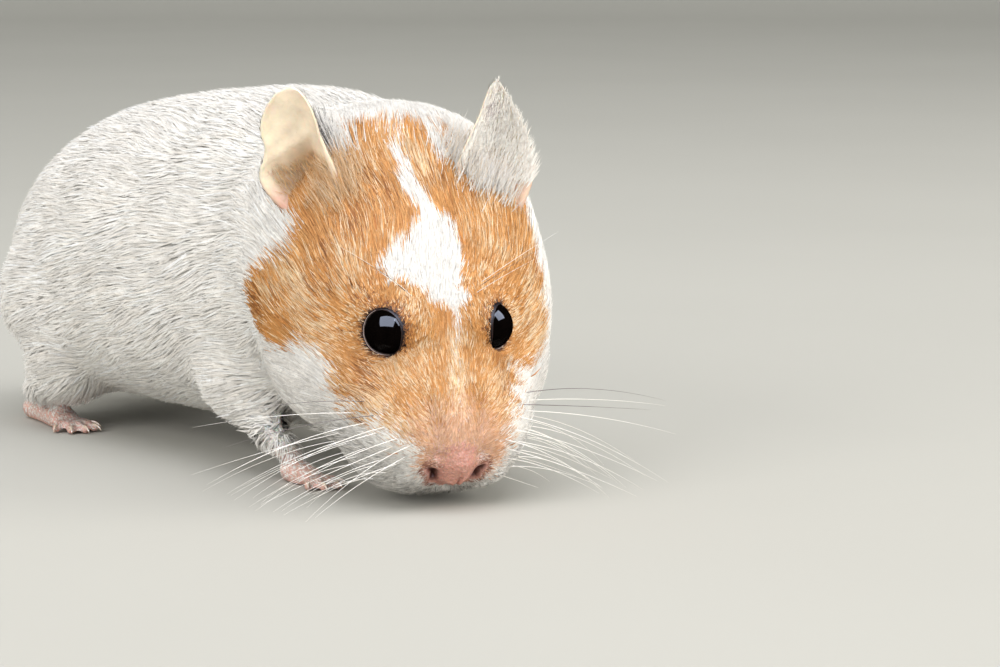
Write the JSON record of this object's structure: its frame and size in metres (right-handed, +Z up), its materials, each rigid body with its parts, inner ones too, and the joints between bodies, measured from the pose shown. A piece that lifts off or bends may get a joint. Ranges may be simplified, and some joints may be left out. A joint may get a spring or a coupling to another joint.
{
  "type": "syrian hamster",
  "caption": "Life-size still model of a Syrian hamster, crouched low with its nose to the ground and its head turned to its right.",
  "frame": {"origin": "on the ground, below the middle of the bounding box", "axes": "-Y the way the hamster faces, +X its left side, +Z up"},
  "size_m": [0.058, 0.1344, 0.0579],
  "materials": {
    "face_coat": "soft short orange and white fur",
    "body_coat": "soft white fur",
    "bare_skin": "pink skin with very short hair",
    "ear": "thin cream skin",
    "eye": "wet black"
  },
  "bodies": {
    "root": {"head": "face_coat", "lower_jaw": "body_coat", "nose": "bare_skin", "eye_left": "eye", "eye_right": "eye", "ear_left": "ear", "ear_right": "ear", "neck": "body_coat", "trunk": "body_coat", "tail": "bare_skin", "foreleg_left": "body_coat", "foreleg_right": "body_coat", "forepaw_left": "bare_skin", "forepaw_right": "bare_skin", "hind_leg_left": "body_coat", "hind_leg_right": "body_coat", "hind_foot_left": "bare_skin", "hind_foot_right": "bare_skin"}
  },
  "joints": []
}
